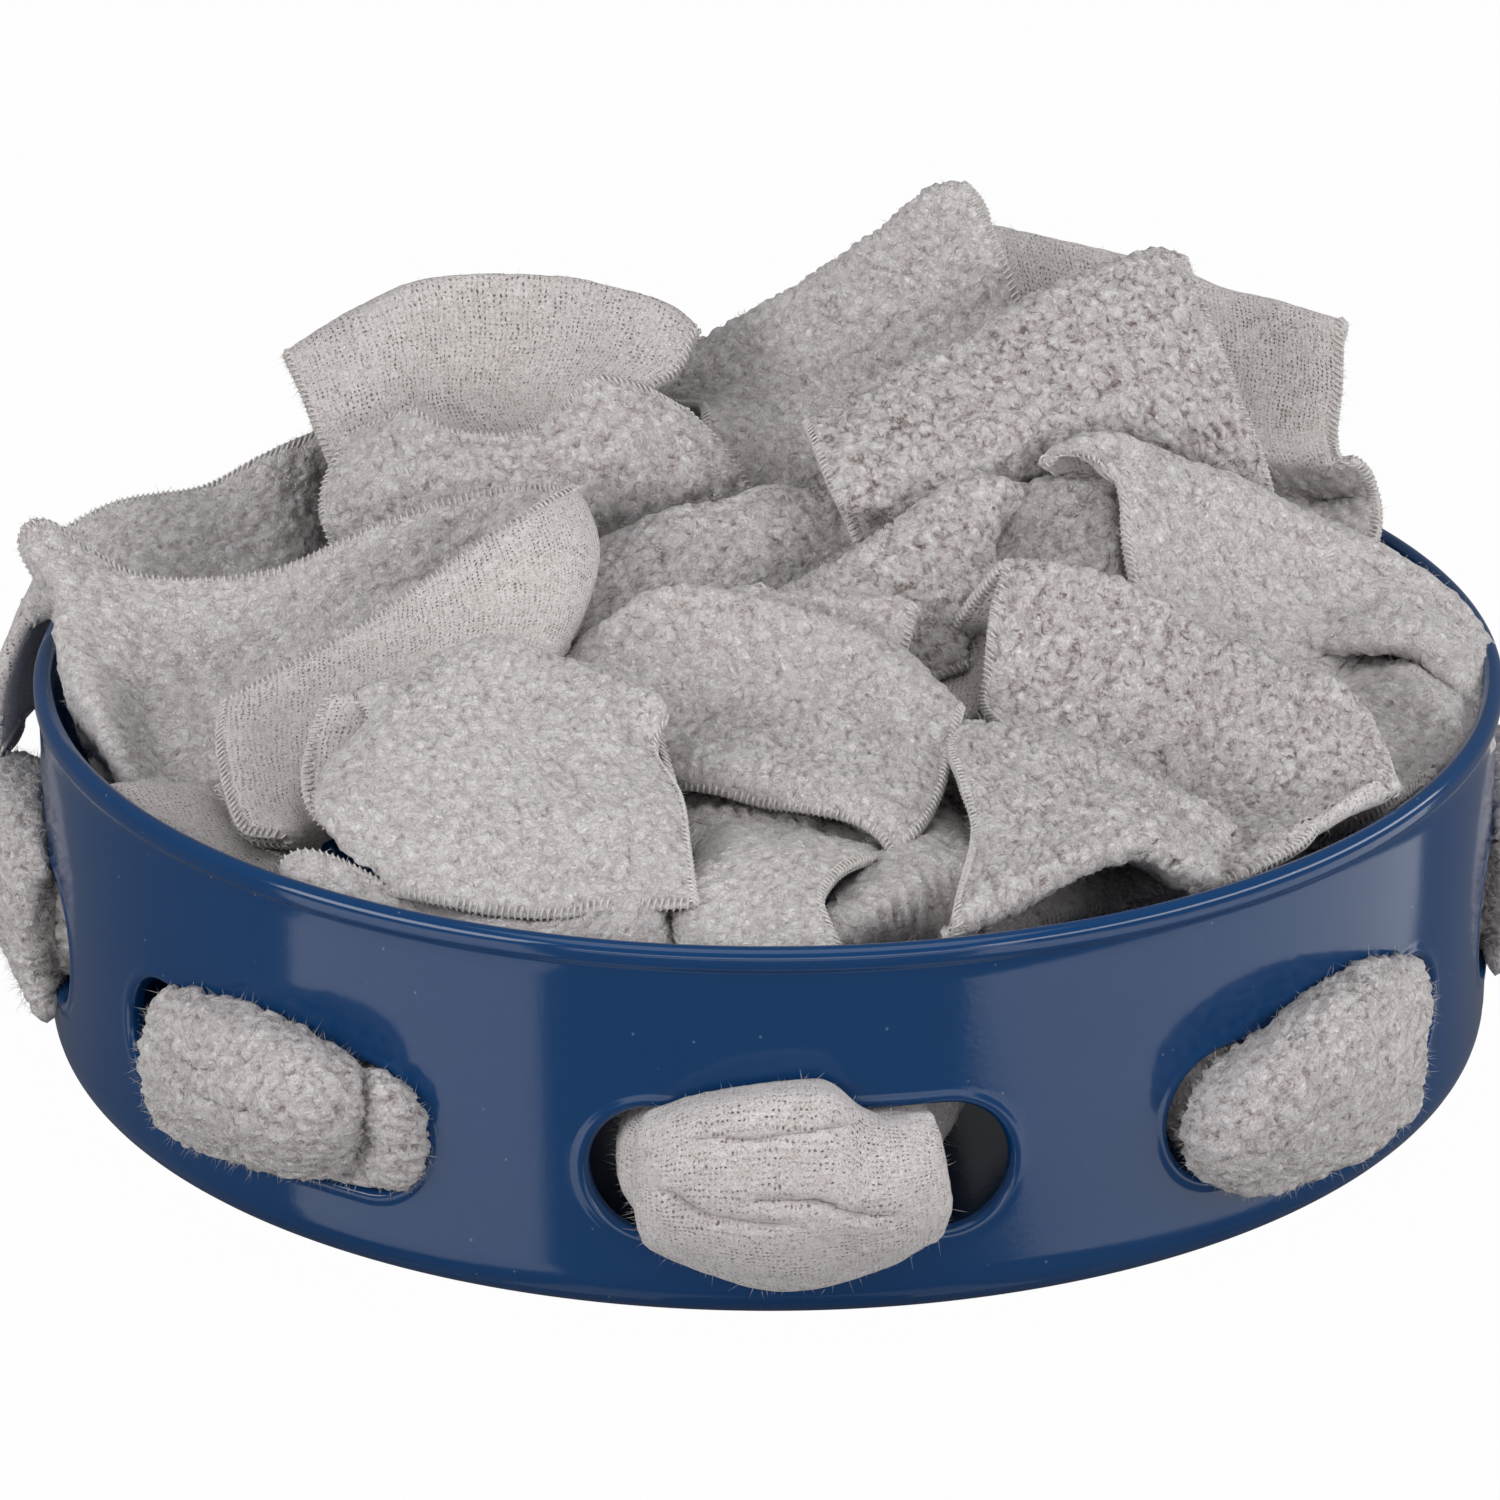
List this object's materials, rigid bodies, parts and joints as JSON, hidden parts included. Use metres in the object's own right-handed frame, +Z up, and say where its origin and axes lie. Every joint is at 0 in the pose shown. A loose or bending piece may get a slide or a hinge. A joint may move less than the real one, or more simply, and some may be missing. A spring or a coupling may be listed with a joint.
{
  "type": "snuffle bowl",
  "caption": "Round plastic feeding bowl with slots in its wall, through which fleece strips are threaded to hide treats in a loose pile.",
  "frame": {"origin": "on the surface the bowl stands on, under the middle of the bowl", "axes": "+Z up, front of the bowl towards -Y, +X to the right seen from the front"},
  "size_m": [0.3112, 0.3112, 0.1421],
  "materials": {
    "navy_plastic": "glossy moulded plastic",
    "grip_rubber": "matt rubber",
    "fleece": "looped pile on one side, fine knit on the other"
  },
  "bodies": {
    "root": {"bowl": "navy_plastic", "grip_ring": "grip_rubber", "strip_front": "fleece", "strip_front_right": "fleece", "strip_right": "fleece", "strip_back_right": "fleece", "strip_back": "fleece", "strip_back_left": "fleece", "strip_left": "fleece", "strip_front_left": "fleece"}
  },
  "joints": []
}
